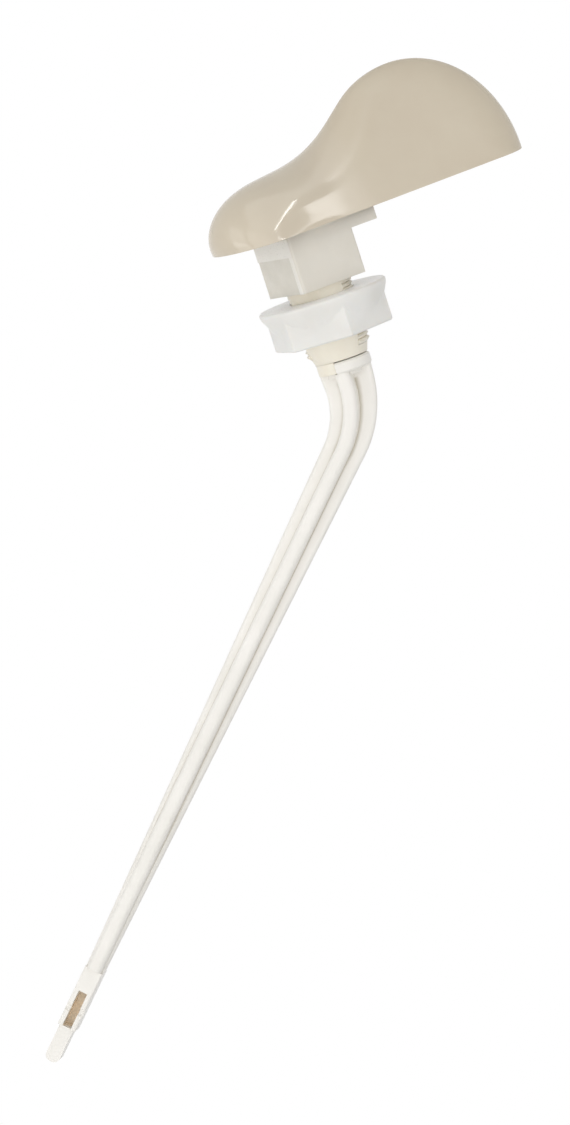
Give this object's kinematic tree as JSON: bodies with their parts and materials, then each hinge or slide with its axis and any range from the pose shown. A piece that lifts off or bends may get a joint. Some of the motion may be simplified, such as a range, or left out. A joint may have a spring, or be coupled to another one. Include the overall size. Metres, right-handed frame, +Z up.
{
  "type": "cistern lever",
  "caption": "Front-mount cistern trip lever: hollow paddle handle, square mounting block, threaded bushing with a flanged lock nut, and a bent ribbed arm that lifts the flush chain.",
  "frame": {"origin": "on the shank axis, in the plane where the block's flange sits on the outside of the tank wall", "axes": "+X to the right of a person facing the tank, +Y into the tank along the shank, +Z up; the handle is at rest"},
  "size_m": [0.1546, 0.2049, 0.0982],
  "materials": {
    "handle": "moulded bone ABS, polished",
    "mounting_block": "moulded off-white plastic, satin",
    "threaded_bushing": "moulded cream plastic, satin",
    "lock_nut": "moulded white plastic, satin",
    "lever_arm": "moulded white plastic, semi-gloss"
  },
  "bodies": {
    "mount": {"mounting_block": "mounting_block", "threaded_bushing": "threaded_bushing"},
    "lever": {"handle": "handle", "lever_arm": "lever_arm"},
    "nut": {"lock_nut": "lock_nut"}
  },
  "joints": [
    {"name": "lever_turn", "type": "hinge", "parent": "mount", "child": "lever", "pos_m": [0, 0, 0], "axis": [0, -1, 0], "range_deg": [0, 35]},
    {"name": "nut_travel", "type": "slide", "parent": "mount", "child": "nut", "axis": [0, 1, 0], "range_m": [-0.0024, 0.005]}
  ]
}
